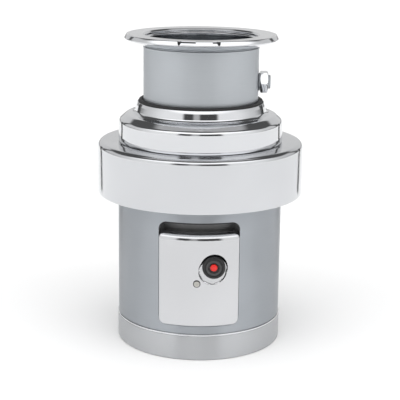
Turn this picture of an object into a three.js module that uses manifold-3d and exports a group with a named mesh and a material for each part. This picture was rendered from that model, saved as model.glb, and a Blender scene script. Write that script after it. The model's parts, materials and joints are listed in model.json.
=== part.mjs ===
// Kitchen garbage disposal of the large continuous-feed kind.
// Millimetres, +Z up. The origin is the centre of the underside of the base; the front faces -Y.
import * as THREE from 'three';
import { mergeVertices } from 'three/addons/utils/BufferGeometryUtils.js';
import Module from 'manifold-3d';

const wasm = await Module();
wasm.setup();

// ---------------------------------------------------------------- driving dimensions
const GAP = 0.3; // air between two pieces that touch
const SHEET = 2; // wall of the pressed steel covers
const HEIGHT = 482.6; // 19 in overall
const BAND_R = 160.3; // widest radius, 12 5/8 in across

const RIM_R = 119; // sink flange
const THROAT_R = 84.1;
const FLANGE_TOP = 482.3;
const KEYHOLE = {
  ringR: 110.5,
  headR: 3.6,
  slit: 2.4,
  depth: 5,
  places: [
    { head: -16, slitFrom: -16, slitTo: -5 },
    { head: 12.5, slitFrom: 8, slitTo: 12.5 },
  ],
};
const SPIGOT_R = 86.3;
const SPIGOT_LOW = 446;
const NECK_R = 89.2; // inlet neck
const NECK_BORE_R = 86.7;
const NECK_LOW = 372;
const NECK_TOP = 463.6;

const WATER_Z = 409; // water inlet on the +X side of the neck
const STUB_R = 10.65;
const STUB_BORE_R = 7.5;
const STUB_END = 107.6;
const NUT_FLATS = 31;
const NUT_TURN = 4;
const NUT_END = 103.8;

const BAND_LOW = 235.5; // centre band
const BAND_TOP = 317;
const BAND_CORNER = 8.5;
const SHELL_R = 128.5; // body shell and base pan
const PAN_R = 129.6;
const PAN_TOP = 41;
const WINDOW = { halfWidth: 60.9, low: 53.5, high: 215, corner: 12.5 };
const COVER = { radius: 130.8, halfWidth: 60.6, low: 54, high: 199, roll: 12, corner: 6 };

const RESET = { x: 22.4, z: 147, bezelR: 17.4, buttonR: 5.4, barrelR: 12 };
const POCKET = { x: 20.5, z: 142, radius: 21.4, floorY: -124 };
const COVER_SCREW = { x: -3, z: 122, headR: 5.5, shankR: 2.2 };

const CHAMBER_R = 100; // bore of the grinding chamber
const CHAMBER_WALL = 3;
const FLANGE_R = 122; // bolted joint round the chamber
const JOINT_Z = 262; // top face of the drain housing
const CHAMBER_LOW = 264;
const CHAMBER_TOP = 361.7;
const CHAMBER_BOLT = { count: 3, ring: 114, shankR: 4, headR: 7, angle: 30 };

const BOWL_FLOOR = 176; // drain housing
const BOWL_UNDER = 170;
const BOWL_OUTER_R = 104;
const HUB_R = 30;
const DRAIN = { z: 202, boreR: 25.4, tubeR: 29, end: 158, faceY: 112, boltPitch: 36, boltR: 3 };

const BEARING = { shaftR: 10, innerR: 14.2, outerR: 19.8, houseR: 23.5, width: 14, balls: 7 };
const UPPER_BEARING_Z = 171.3;
const LOWER_BEARING_Z = 31.3;

const MOTOR_R = 86; // motor
const MOTOR_WALL = 3.7;
const MOTOR_LOW = 46;
const STATOR = { low: 66, high: 146, outerR: 82, boreR: 52.6, slots: 12, slotLow: 57, slotHigh: 74 };
const ROTOR = { low: 60, high: 152, radius: 51.9 };
const SHAFT_R = 12;
const BELL_R = 104;
const BELL_LOW = 38;
const THROUGH_BOLT = { count: 4, ring: 92, shankR: 4, headR: 7, angle: 45 };
const BASE_SCREW = { count: 3, ring: 98, shankR: 2.2, headR: 5, angle: 90 };

const PLATE = { low: 272, high: 280, radius: 90.5 };
const RING = { outerR: 99.2, innerR: 92, low: 262.3, high: 300, teeth: 20 };

const BOX = { inner: 88, outer: 125.8, angle: 31, low: 46.5, high: 222, step: 168, stepR: 105 };
const CONDUIT = { x: 0, y: -108, boreR: 8, barrelR: 11, lipR: 15 };
const CAPACITOR = { x: 106, radius: 17, low: 50, high: 150 };

const ROUND = 32; // sides of the large turned pieces
const MEDIUM = 20;
const SMALL = 12;
const HOLE = 8;

const FINISH = {
  polished: { color: 0xdddee1, roughness: 0.1, metalness: 1 },
  brushed: { color: 0xb9bcc2, roughness: 0.35, metalness: 1 },
  castAluminium: { color: 0x9a9c9f, roughness: 0.55, metalness: 1 },
  castIron: { color: 0x4c4e50, roughness: 0.6, metalness: 1 },
  hardSteel: { color: 0xa9abad, roughness: 0.3, metalness: 1 },
  darkPaint: { color: 0x2f3134, roughness: 0.45, metalness: 0.3 },
  lamination: { color: 0x6a6560, roughness: 0.6, metalness: 0.8 },
  copper: { color: 0xa85f2f, roughness: 0.4, metalness: 0.9 },
  rubber: { color: 0x161616, roughness: 0.8, metalness: 0 },
  foam: { color: 0x3a3b3d, roughness: 0.95, metalness: 0 },
  blackPlastic: { color: 0x141516, roughness: 0.35, metalness: 0 },
  redPlastic: { color: 0xd8232a, roughness: 0.35, metalness: 0 },
  whitePlastic: { color: 0xdedbd2, roughness: 0.5, metalness: 0 },
  zinc: { color: 0xc3c2bb, roughness: 0.3, metalness: 1 },
};

// ---------------------------------------------------------------- geometry helpers
const rad = THREE.MathUtils.degToRad;

/** Only positions, with shared vertices merged and collapsed triangles dropped. */
function welded(geometry) {
  geometry.deleteAttribute('normal');
  geometry.deleteAttribute('uv');
  const merged = mergeVertices(geometry, 1e-4);
  const kept = [];
  const index = merged.index.array;
  for (let i = 0; i < index.length; i += 3) {
    const [a, b, c] = [index[i], index[i + 1], index[i + 2]];
    if (a !== b && b !== c && c !== a) kept.push(a, b, c);
  }
  merged.setIndex(kept);
  return merged;
}

function signedVolume(geometry) {
  const position = geometry.attributes.position;
  const index = geometry.index.array;
  const corner = [new THREE.Vector3(), new THREE.Vector3(), new THREE.Vector3()];
  let sum = 0;
  for (let i = 0; i < index.length; i += 3) {
    corner.forEach((vertex, k) => vertex.fromBufferAttribute(position, index[i + k]));
    sum += corner[0].dot(corner[1].cross(corner[2])) / 6;
  }
  return sum;
}

/** The same closed surface with its faces pointing out. */
function outward(geometry) {
  const shape = welded(geometry);
  if (signedVolume(shape) < 0) {
    const index = Array.from(shape.index.array);
    for (let i = 0; i < index.length; i += 3) [index[i], index[i + 1]] = [index[i + 1], index[i]];
    shape.setIndex(index);
  }
  return shape;
}

function toSolid(geometry) {
  return new wasm.Manifold(new wasm.Mesh({
    numProp: 3,
    vertProperties: new Float32Array(geometry.attributes.position.array),
    triVerts: new Uint32Array(geometry.index.array),
  }));
}

function toGeometry(solid) {
  const mesh = solid.getMesh();
  const geometry = new THREE.BufferGeometry();
  geometry.setAttribute('position', new THREE.BufferAttribute(mesh.vertProperties, 3));
  geometry.setIndex(Array.from(mesh.triVerts));
  return geometry;
}

const combine = (method) => (first, ...others) => toGeometry(
  others.reduce((total, other) => total[method](toSolid(other)), toSolid(first)),
);
const join = combine('add');
const cut = combine('subtract');
const common = combine('intersect');

/** Solid of revolution about Z through [radius, z] points; it closes itself unless both ends are on Z. */
function turned(profile, sides = ROUND) {
  const onAxis = profile[0][0] === 0 && profile.at(-1)[0] === 0;
  const outline = onAxis ? profile : [...profile, profile[0]];
  const geometry = new THREE.LatheGeometry(outline.map(([r, z]) => new THREE.Vector2(r, z)), sides);
  return outward(geometry.rotateX(Math.PI / 2));
}

/** Points of an arc in a [radius, z] profile, angles in degrees. */
function arc(r, z, radius, from, to, steps) {
  return Array.from({ length: steps + 1 }, (_, i) => {
    const angle = rad(from + ((to - from) * i) / steps);
    return [r + radius * Math.cos(angle), z + radius * Math.sin(angle)];
  });
}

function tubeRing(innerR, outerR, low, high, sides = MEDIUM) {
  return turned([[outerR, low], [outerR, high], [innerR, high], [innerR, low]], sides);
}

function rod(radius, low, high, sides = SMALL) {
  return turned([[0, low], [radius, low], [radius, high], [0, high]], sides);
}

function block(x, y, z) {
  const geometry = new THREE.BoxGeometry(x[1] - x[0], y[1] - y[0], z[1] - z[0]);
  geometry.translate((x[0] + x[1]) / 2, (y[0] + y[1]) / 2, (z[0] + z[1]) / 2);
  return outward(geometry);
}

function extruded(shape, low, high, curveSegments = 6) {
  const options = { depth: high - low, bevelEnabled: false, curveSegments };
  return outward(new THREE.ExtrudeGeometry(shape, options).translate(0, 0, low));
}

/** Turns a piece made along Z so that its local Z points along +X, -Y or +Y. */
const alongX = (geometry) => geometry.rotateY(Math.PI / 2);
const alongFront = (geometry) => geometry.rotateX(Math.PI / 2);
const alongRear = (geometry) => geometry.rotateX(-Math.PI / 2);

/** Places on a circle about Z, as [x, y] pairs. */
function ringPlaces({ count, ring, angle }) {
  return Array.from({ length: count }, (_, i) => {
    const turn = rad(angle + (360 * i) / count);
    return [ring * Math.cos(turn), ring * Math.sin(turn)];
  });
}

/** Drills whose flats, not corners, lie at the radius, so a round pin of that radius clears them. */
function holesAt(places, radius, low, high) {
  const corner = radius / Math.cos(Math.PI / HOLE);
  return places.map(([x, y]) => rod(corner, low, high, HOLE).translate(x, y, 0));
}

/** A sector about Z, centred on the front, between two radii. */
function frontSector(innerR, outerR, halfAngle, low, high) {
  const shape = new THREE.Shape();
  const from = rad(-90 - halfAngle);
  const to = rad(-90 + halfAngle);
  shape.absarc(0, 0, outerR, from, to, false);
  shape.absarc(0, 0, innerR, to, from, true);
  return extruded(shape, low, high, 6);
}

/** A panel outline in the X-Z plane with rounded corners, made solid from y0 to y1. */
function frontPanel({ halfWidth, low, high, corner }, y0, y1) {
  const shape = new THREE.Shape();
  shape.moveTo(-halfWidth + corner, low);
  shape.lineTo(halfWidth - corner, low);
  shape.absarc(halfWidth - corner, low + corner, corner, -Math.PI / 2, 0, false);
  shape.absarc(halfWidth - corner, high - corner, corner, 0, Math.PI / 2, false);
  shape.absarc(-halfWidth + corner, high - corner, corner, Math.PI / 2, Math.PI, false);
  shape.absarc(-halfWidth + corner, low + corner, corner, Math.PI, Math.PI * 1.5, false);
  return alongFront(extruded(shape, -y1, -y0, 4));
}

/** A round tube along a smooth curve. */
function lead(points, radius) {
  const path = new THREE.CatmullRomCurve3(points.map(([x, y, z]) => new THREE.Vector3(x, y, z)));
  const section = new THREE.Shape().absarc(0, 0, radius, 0, Math.PI * 2, false);
  const options = { steps: 8, bevelEnabled: false, extrudePath: path, curveSegments: 4 };
  return outward(new THREE.ExtrudeGeometry(section, options));
}

/** Hexagon-headed fastener on +Z: the head sits on z = 0 and the shank hangs below. */
function hexBolt(headR, headHeight, shankR, length) {
  return join(rod(headR, 0, headHeight, 6), rod(shankR, -length, 1, HOLE));
}

// ---------------------------------------------------------------- the object
const disposal = new THREE.Group();

function add(name, geometry, finish, parent = disposal) {
  geometry.computeVertexNormals();
  const mesh = new THREE.Mesh(geometry, new THREE.MeshStandardMaterial(FINISH[finish]));
  mesh.name = name;
  parent.add(mesh);
  return mesh;
}

// ---- sink flange, neck and water inlet
/** A keyhole slot sunk into the flange: a round end and a narrow slit on the same circle. */
function keyhole({ head, slitFrom, slitTo }) {
  const low = FLANGE_TOP - KEYHOLE.depth;
  const high = HEIGHT + 1;
  const half = KEYHOLE.slit / 2;
  const round = rod(KEYHOLE.headR, low, high, SMALL).translate(0, -KEYHOLE.ringR, 0).rotateZ(rad(head));
  const span = (slitTo - slitFrom) / 2;
  const slit = frontSector(KEYHOLE.ringR - half, KEYHOLE.ringR + half, span, low, high);
  return [round, slit.rotateZ(rad(slitFrom + span))];
}

function sinkFlange() {
  const body = turned([
    [RIM_R - 0.6, HEIGHT], [RIM_R, HEIGHT - 0.8], [RIM_R, HEIGHT - 4.4], [RIM_R - 1.7, HEIGHT - 6.2],
    [RIM_R - 7, HEIGHT - 9.1], [RIM_R - 12, HEIGHT - 10.9], [92, HEIGHT - 16.6], [NECK_R, NECK_TOP + GAP],
    [SPIGOT_R, NECK_TOP + GAP], [SPIGOT_R, SPIGOT_LOW], [THROAT_R, SPIGOT_LOW], [THROAT_R, 474.5],
    [THROAT_R + 3, 476], [THROAT_R + 3, 479], [THROAT_R + 5.5, FLANGE_TOP],
    [RIM_R - 4, FLANGE_TOP], [RIM_R - 2.6, HEIGHT],
  ]);
  return cut(body, ...KEYHOLE.places.flatMap(keyhole));
}

function inletNeck() {
  const opening = alongX(rod(STUB_R + GAP, 60, 120, SMALL)).translate(0, 0, WATER_Z);
  return cut(tubeRing(NECK_BORE_R, NECK_R, NECK_LOW, NECK_TOP, ROUND), opening);
}

function waterInletNozzle() {
  const inner = NECK_BORE_R - 5;
  const collar = inner + 3;
  return alongX(turned([
    [STUB_BORE_R, inner], [15, inner], [15, collar], [STUB_R, collar],
    [STUB_R, STUB_END], [STUB_BORE_R, STUB_END],
  ], SMALL)).translate(0, 0, WATER_Z);
}

function waterInletNut() {
  const start = NECK_R + 2.3;
  const corner = NUT_FLATS / 2 / Math.cos(Math.PI / 6);
  const nut = cut(rod(corner, start, NUT_END, 6), rod(STUB_R + GAP, start - 1, NUT_END + 1, SMALL));
  return alongX(nut).rotateX(rad(NUT_TURN)).translate(0, 0, WATER_Z);
}

function waterInletWasher() {
  const washer = tubeRing(STUB_R + GAP, 14, NECK_R + GAP, NECK_R + 2, SMALL);
  return alongX(washer).translate(0, 0, WATER_Z);
}

add('sink_flange', sinkFlange(), 'polished');
add('inlet_neck', inletNeck(), 'brushed');
add('water_inlet_nozzle', waterInletNozzle(), 'brushed');
add('water_inlet_nut', waterInletNut(), 'polished');
add('water_inlet_washer', waterInletWasher(), 'rubber');

// ---- outer covers
function rubberIsolator() {
  const foot = NECK_LOW - GAP;
  return turned([
    [84.2, CHAMBER_TOP + GAP], [96.3, CHAMBER_TOP + GAP], [96.3, 381], [95.3, 381.6],
    [NECK_R + GAP, 381.6], [NECK_R + GAP, foot], [84.2, foot],
  ]);
}

function upperTrim() {
  const low = BAND_TOP + GAP;
  return turned([
    [97, 378], [98, 378], [100.2, 373], [102.4, 363.6], [106.5, 360.6], [113.9, 358.9],
    [121.5, 354.1], [127.4, 344.5], [128.3, low],
    [126.3, low], [125.4, 344], [119.8, 352.4], [112.4, 356.8], [101.4, 359.4],
  ]);
}

function centreBand() {
  const turnR = BAND_R - BAND_CORNER;
  const turnZ = BAND_TOP - BAND_CORNER;
  return turned([
    [127, BAND_TOP - SHEET], [127, BAND_TOP],
    ...arc(turnR, turnZ, BAND_CORNER, 90, 0, 3),
    ...arc(BAND_R - 2.5, BAND_LOW + 2.5, 2.5, 0, -90, 1),
    [124, BAND_LOW], [124, BAND_LOW + SHEET],
    [BAND_R - 3, BAND_LOW + SHEET], [BAND_R - SHEET, BAND_LOW + 3],
    ...arc(turnR, turnZ, BAND_CORNER - SHEET, 0, 90, 2),
  ]);
}

function insulationRing() {
  const low = BAND_LOW + SHEET + GAP + 0.1;
  const high = BAND_TOP - SHEET - GAP - 0.1;
  const outerR = BAND_R - SHEET - 0.7;
  const innerR = CHAMBER_R + CHAMBER_WALL + 2;
  return turned([
    [FLANGE_R + 1.6, low], [outerR - 1.2, low], [outerR, low + 1.6], [outerR, 308], [151.5, high],
    [innerR, high], [innerR, 278], [FLANGE_R + 1.6, 278],
  ], MEDIUM + 4);
}

function bodyShell() {
  const shell = tubeRing(SHELL_R - SHEET, SHELL_R, PAN_TOP + GAP, BAND_LOW - GAP, ROUND);
  const window = frontPanel(WINDOW, -SHELL_R - 10, -90);
  const outlet = alongRear(rod(DRAIN.tubeR + 2, 100, 140, 20)).translate(0, 0, DRAIN.z);
  return cut(shell, window, outlet);
}

function basePan() {
  const places = ringPlaces(BASE_SCREW);
  const conduit = [[CONDUIT.x, CONDUIT.y]];
  const dish = turned([
    [0, 0], [PAN_R - 1, 0], [PAN_R, 1], [PAN_R, PAN_TOP],
    [PAN_R - SHEET, PAN_TOP], [PAN_R - SHEET, SHEET], [0, SHEET],
  ]);
  const cups = [...holesAt(places, 9.5, 1, 6), ...holesAt(conduit, 19, 1, 6)];
  const recesses = [...holesAt(places, 7.5, -1, 4), ...holesAt(conduit, 17, -1, 4)];
  const holes = [
    ...holesAt(places, BASE_SCREW.shankR + GAP, 3, 7),
    ...holesAt(conduit, CONDUIT.barrelR + GAP, 3, 7),
  ];
  const vents = Array.from({ length: 8 }, (_, i) => (
    block([34, 74], [-3, 3], [-1, 3]).rotateZ(rad(22.5 + 45 * i))
  ));
  return cut(join(dish, ...cups), ...recesses, ...holes, ...vents);
}

add('rubber_isolator', rubberIsolator(), 'rubber');
add('upper_trim', upperTrim(), 'polished');
add('centre_band', centreBand(), 'polished');
add('insulation_ring', insulationRing(), 'foam');
add('body_shell', bodyShell(), 'brushed');
add('base_pan', basePan(), 'brushed');

// ---- grinding chamber
function grindChamber() {
  const outerR = CHAMBER_R + CHAMBER_WALL;
  const body = turned([
    [CHAMBER_R, CHAMBER_LOW], [FLANGE_R, CHAMBER_LOW], [FLANGE_R, CHAMBER_LOW + 6], [outerR, CHAMBER_LOW + 6],
    [outerR, 330], [98, 350], [98, CHAMBER_TOP], [84.2, CHAMBER_TOP], [84.2, 357], [CHAMBER_R, 328],
  ]);
  return cut(body, ...holesAt(ringPlaces(CHAMBER_BOLT), CHAMBER_BOLT.shankR + GAP, 260, 275));
}

function chamberGasket() {
  const ring = tubeRing(104.5, 121, JOINT_Z + GAP, CHAMBER_LOW - GAP, ROUND);
  return cut(ring, ...holesAt(ringPlaces(CHAMBER_BOLT), CHAMBER_BOLT.shankR + GAP, 260, 266));
}

function stationaryShredder() {
  const outline = new THREE.Shape().absarc(0, 0, RING.outerR, 0, Math.PI * 2, false);
  const bore = new THREE.Path();
  const pitch = (Math.PI * 2) / RING.teeth;
  for (let i = 0; i < RING.teeth; i += 1) {
    [[0, RING.innerR], [0.6, RING.innerR], [0.68, 96.5], [0.92, 96.5]].forEach(([part, r], k) => {
      const angle = (i + part) * pitch;
      const move = i === 0 && k === 0 ? 'moveTo' : 'lineTo';
      bore[move](r * Math.cos(angle), r * Math.sin(angle));
    });
  }
  bore.closePath();
  outline.holes.push(bore);
  return extruded(outline, RING.low, RING.high, ROUND / 2);
}

add('grind_chamber', grindChamber(), 'castAluminium');
add('chamber_gasket', chamberGasket(), 'rubber');
add('stationary_shredder', stationaryShredder(), 'hardSteel');
ringPlaces(CHAMBER_BOLT).forEach(([x, y], i) => {
  const bolt = add(`chamber_bolt_${i + 1}`, hexBolt(CHAMBER_BOLT.headR, 5, CHAMBER_BOLT.shankR, 24), 'zinc');
  bolt.position.set(x, y, CHAMBER_LOW + 6 + GAP);
});

// ---- drain housing and outlet
/** Lozenge outline of the bolted outlet face, centred on the bore. */
function outletOutline() {
  const ear = 9;
  const shape = new THREE.Shape();
  const lean = Math.acos((33 - ear) / DRAIN.boltPitch);
  const quarter = Math.PI / 2;
  shape.absarc(0, DRAIN.boltPitch, ear, quarter - lean, quarter + lean, false);
  shape.absarc(0, 0, 33, quarter + lean, 3 * quarter - lean, false);
  shape.absarc(0, -DRAIN.boltPitch, ear, 3 * quarter - lean, 3 * quarter + lean, false);
  shape.absarc(0, 0, 33, 3 * quarter + lean, 5 * quarter - lean, false);
  return shape;
}

function outletPlate(from, to) {
  return alongRear(extruded(outletOutline(), from, to, 5)).translate(0, 0, DRAIN.z);
}

function outletHoles(from, to, boltFrom = from) {
  const bore = alongRear(rod(DRAIN.boreR, from, to, 20)).translate(0, 0, DRAIN.z);
  const bolts = [-1, 1].map((side) => (
    alongRear(rod(DRAIN.boltR + GAP, boltFrom, to, 10)).translate(0, 0, DRAIN.z + side * DRAIN.boltPitch)
  ));
  return [bore, ...bolts];
}

function drainHousing() {
  const bowl = turned([
    [FLANGE_R, JOINT_Z - 6], [FLANGE_R, JOINT_Z], [96, JOINT_Z], [96, 258], [CHAMBER_R, 254],
    [CHAMBER_R, 180], [HUB_R, BOWL_FLOOR], [HUB_R, 203], [20.3, 203], [20.3, 190],
    [13, 190], [13, 186], [BEARING.houseR + GAP, 186], [BEARING.houseR + GAP, BOWL_UNDER],
    [BOWL_OUTER_R, BOWL_UNDER], [BOWL_OUTER_R, JOINT_Z - 10],
  ]);
  const bosses = holesAt(ringPlaces(CHAMBER_BOLT), 8.5, 242, JOINT_Z - 3)
    .map((boss) => cut(boss, rod(CHAMBER_R + 2, 200, JOINT_Z, ROUND)));
  const pad = cut(outletPlate(90, DRAIN.faceY), rod(CHAMBER_R + 2, 140, JOINT_Z, ROUND));
  return cut(
    join(bowl, pad, ...bosses),
    ...outletHoles(80, DRAIN.faceY + 1, 103),
    ...holesAt(ringPlaces(CHAMBER_BOLT), CHAMBER_BOLT.shankR + GAP, 245, JOINT_Z + 1),
    ...holesAt(ringPlaces(THROUGH_BOLT), THROUGH_BOLT.shankR + GAP, BOWL_UNDER - 1, BOWL_FLOOR - 1.2),
  );
}

function drainSpout() {
  const start = DRAIN.faceY + 1.7;
  const tube = alongRear(rod(DRAIN.tubeR, start, DRAIN.end, 20)).translate(0, 0, DRAIN.z);
  return cut(join(outletPlate(start, start + 5), tube), ...outletHoles(start - 1, DRAIN.end + 1));
}

function drainGasket() {
  const start = DRAIN.faceY + GAP;
  return cut(outletPlate(start, start + 1.1), ...outletHoles(start - 1, start + 3));
}

function shaftSeal() {
  return turned([[20, 190.3], [20, 202.6], [14, 202.6], [9.4, 199], [9.4, 196.5], [13.3, 190.3]], 16);
}

add('drain_housing', drainHousing(), 'castAluminium');
add('drain_spout', drainSpout(), 'castAluminium');
add('drain_gasket', drainGasket(), 'rubber');
[-1, 1].forEach((side, i) => {
  const bolt = add(`drain_bolt_${i + 1}`, hexBolt(6, 3.6, DRAIN.boltR, 14), 'zinc');
  bolt.rotation.x = -Math.PI / 2;
  bolt.position.set(0, DRAIN.faceY + 6.7 + GAP, DRAIN.z + side * DRAIN.boltPitch);
});
add('shaft_seal', shaftSeal(), 'rubber');

// ---- motor housing
function motorFrame() {
  return tubeRing(MOTOR_R - MOTOR_WALL, MOTOR_R, MOTOR_LOW + GAP, BOWL_UNDER - GAP);
}

function statorCore() {
  const outline = new THREE.Shape().absarc(0, 0, STATOR.outerR, 0, Math.PI * 2, false);
  const bore = new THREE.Path();
  const slot = [
    [STATOR.boreR, -1.5], [STATOR.slotLow, -1.5], [STATOR.slotLow, -5], [STATOR.slotHigh, -5],
    [STATOR.slotHigh, 5], [STATOR.slotLow, 5], [STATOR.slotLow, 1.5], [STATOR.boreR, 1.5],
  ];
  const pitch = 360 / STATOR.slots;
  for (let i = 0; i < STATOR.slots; i += 1) {
    const turn = rad(pitch * i);
    slot.forEach(([u, v], k) => {
      const move = i === 0 && k === 0 ? 'moveTo' : 'lineTo';
      bore[move](u * Math.cos(turn) - v * Math.sin(turn), u * Math.sin(turn) + v * Math.cos(turn));
    });
    const middle = rad(pitch * (i + 0.5));
    bore.lineTo(STATOR.boreR * Math.cos(middle), STATOR.boreR * Math.sin(middle));
  }
  bore.closePath();
  outline.holes.push(bore);
  return extruded(outline, STATOR.low, STATOR.high, MEDIUM / 2);
}

function statorWinding() {
  const endTurn = (low, high) => tubeRing(56, 78, low, high);
  const bars = Array.from({ length: STATOR.slots }, (_, i) => (
    block([STATOR.slotLow + 0.4, STATOR.slotHigh - 0.4], [-4.6, 4.6], [STATOR.low - 2, STATOR.high + 2])
      .rotateZ(rad((360 / STATOR.slots) * i))
  ));
  return join(endTurn(50.5, STATOR.low - GAP), endTurn(STATOR.high + GAP, 165), ...bars);
}

function lowerEndBell() {
  const seat = LOWER_BEARING_Z - GAP;
  const houseR = BEARING.houseR + GAP;
  const body = turned([
    [BELL_R, BELL_LOW], [BELL_R, MOTOR_LOW], [houseR, MOTOR_LOW], [houseR, seat],
    [17, seat], [17, seat - 2.7], [HUB_R, seat - 2.7], [HUB_R, BELL_LOW],
  ], MEDIUM);
  return cut(
    body,
    ...holesAt(ringPlaces(THROUGH_BOLT), THROUGH_BOLT.shankR + GAP, BELL_LOW - 1, MOTOR_LOW + 1),
    ...holesAt(ringPlaces(BASE_SCREW), BASE_SCREW.shankR + GAP, BELL_LOW - 1, MOTOR_LOW + 1),
    ...holesAt(ringPlaces({ count: 6, ring: 60, angle: 30 }), 11, BELL_LOW - 1, MOTOR_LOW + 1),
  );
}

add('motor_frame', motorFrame(), 'darkPaint');
add('stator_core', statorCore(), 'lamination');
add('stator_winding', statorWinding(), 'copper');
add('lower_end_bell', lowerEndBell(), 'castAluminium');
ringPlaces(THROUGH_BOLT).forEach(([x, y], i) => {
  const length = BOWL_FLOOR - 1.5 - BELL_LOW + GAP;
  const { headR, shankR } = THROUGH_BOLT;
  const bolt = add(`through_bolt_${i + 1}`, hexBolt(headR, 4.5, shankR, length), 'zinc');
  bolt.rotation.x = Math.PI;
  bolt.position.set(x, y, BELL_LOW - GAP);
});
ringPlaces(BASE_SCREW).forEach(([x, y], i) => {
  const screw = add(`base_screw_${i + 1}`, hexBolt(BASE_SCREW.headR, 2.5, BASE_SCREW.shankR, 40), 'zinc');
  screw.rotation.x = Math.PI;
  screw.position.set(x, y, 4 - GAP);
});

// ---- electrical compartment behind the window
function terminalBox() {
  const wall = SHEET;
  const tray = join(
    frontSector(BOX.inner, BOX.outer, BOX.angle, BOX.low, BOX.step),
    frontSector(BOX.stepR, BOX.outer, BOX.angle, BOX.step - 4, BOX.high),
  );
  const post = alongFront(rod(5, BOX.inner + 1, COVER.radius - SHEET - 1.2, HOLE))
    .translate(COVER_SCREW.x, 0, COVER_SCREW.z);
  const room = [
    frontSector(BOX.inner + wall, 140, BOX.angle - 1.1, BOX.low + wall, BOX.step - wall),
    frontSector(BOX.stepR + wall, 140, BOX.angle - 1.1, BOX.step - 8, BOX.high - wall),
  ];
  const entry = rod(9, BOX.low - 1, BOX.low + 5, SMALL).translate(CONDUIT.x, CONDUIT.y, 0);
  const thread = alongFront(rod(COVER_SCREW.shankR + GAP, 110, 140, 10))
    .translate(COVER_SCREW.x, 0, COVER_SCREW.z);
  return cut(join(cut(tray, ...room, entry), post), thread);
}

function overloadProtector() {
  const body = turned([[0, 92], [15, 92], [16, 93], [16, 102.7], [15, 103.7], [0, 103.7]], 14);
  const tabs = [-7, 7].map((x) => block([x - 0.5, x + 0.5], [-3, 3], [90, 93]));
  return alongFront(join(body, ...tabs)).translate(RESET.x, 0, RESET.z);
}

function terminalBlock() {
  const base = block([-48, -8], [-106, -92], [66, 90]);
  const ribs = [-48, -35, -22, -10].map((x) => block([x, x + 2], [-109, -105], [66, 90]));
  const screws = [-40.5, -27.5, -15].map((x) => alongFront(rod(3.2, 104, 107.5, 10)).translate(x, 0, 78));
  return join(base, ...ribs, ...screws);
}

function startRelay() {
  const body = block([-46, -16], [-107, -91.5], [110, 138]);
  const tabs = [-40, -31, -22].map((x) => block([x - 0.5, x + 0.5], [-102, -96], [137, 144]));
  return join(body, ...tabs);
}

function startCapacitor() {
  const can = turned([
    [0, CAPACITOR.low], [16, CAPACITOR.low], [CAPACITOR.radius, CAPACITOR.low + 1.5],
    [CAPACITOR.radius, CAPACITOR.high - 2], [15, CAPACITOR.high], [0, CAPACITOR.high],
  ], 16);
  const { high } = CAPACITOR;
  const tabs = [-5, 5].map((y) => block([-3, 3], [y - 0.5, y + 0.5], [high - 1, high + 8]));
  return join(can, ...tabs).translate(CAPACITOR.x, 0, 0);
}

function capacitorClamp() {
  const innerR = CAPACITOR.radius + GAP;
  const strap = rod(innerR + 1.6, 92, 106, 16).translate(CAPACITOR.x, 0, 0);
  const foot = block([MOTOR_R + GAP, CAPACITOR.x - 12], [-9, 9], [92, 106]);
  return cut(join(strap, foot), rod(innerR, 90, 110, 16).translate(CAPACITOR.x, 0, 0));
}

function conduitBushing() {
  const { boreR, barrelR, lipR } = CONDUIT;
  return turned([
    [boreR, 1], [lipR, 1], [lipR, 4 - GAP], [barrelR, 4 - GAP], [barrelR, 6 + GAP],
    [barrelR + 2.5, 6 + GAP], [barrelR + 2.5, 10], [barrelR, 10], [barrelR, 15], [boreR, 15],
  ], SMALL).translate(CONDUIT.x, CONDUIT.y, 0);
}

add('terminal_box', terminalBox(), 'darkPaint');
add('overload_protector', overloadProtector(), 'blackPlastic');
add('terminal_block', terminalBlock(), 'whitePlastic');
add('start_relay', startRelay(), 'blackPlastic');
add('start_capacitor', startCapacitor(), 'blackPlastic');
add('capacitor_clamp', capacitorClamp(), 'zinc');
add('conduit_bushing', conduitBushing(), 'blackPlastic');
const LEAD_R = 1.7;
const LEADS = [
  { finish: 'redPlastic', path: [[-40, -99, 91], [-41, -101, 97], [-41, -101, 103], [-40, -99, 109]] },
  {
    finish: 'rubber',
    path: [
      [-14, -99, 91], [-13, -101, 96], [-4, -104, 104],
      [12, -104, 112], [22, -98, 122], [22.4, -97, 129.8],
    ],
  },
];
LEADS.forEach(({ finish, path }, i) => add(`motor_lead_${i + 1}`, lead(path, LEAD_R), finish));

// ---- control cover and reset button
function controlCover() {
  const { radius, roll, low, high } = COVER;
  const inner = radius - SHEET;
  const rolled = turned([
    [radius, low], ...arc(radius - roll, high - roll, roll, 0, 90, 5),
    ...arc(radius - roll, high - roll, roll - SHEET, 90, 0, 3), [inner, low],
  ]);
  const pocket = [[POCKET.x, POCKET.z, POCKET.radius], [RESET.x, RESET.z, RESET.bezelR + 1.6]];
  const cup = pocket.map(([x, z, r]) => common(
    alongFront(rod(r + SHEET, -POCKET.floorY - SHEET, radius, 20)).translate(x, 0, z),
    rod(radius - 0.6, 80, 200, ROUND),
  ));
  const recess = pocket.map(([x, z, r]) => (
    alongFront(rod(r, -POCKET.floorY, radius + 6, 20)).translate(x, 0, z)
  ));
  const panel = common(rolled, frontPanel(COVER, -radius - 5, -100));
  return cut(
    join(panel, ...cup),
    ...recess,
    alongFront(rod(RESET.barrelR + GAP, 110, 140, 16)).translate(RESET.x, 0, RESET.z),
    alongFront(rod(COVER_SCREW.shankR + GAP, 110, 140, 10)).translate(COVER_SCREW.x, 0, COVER_SCREW.z),
  );
}

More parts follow.
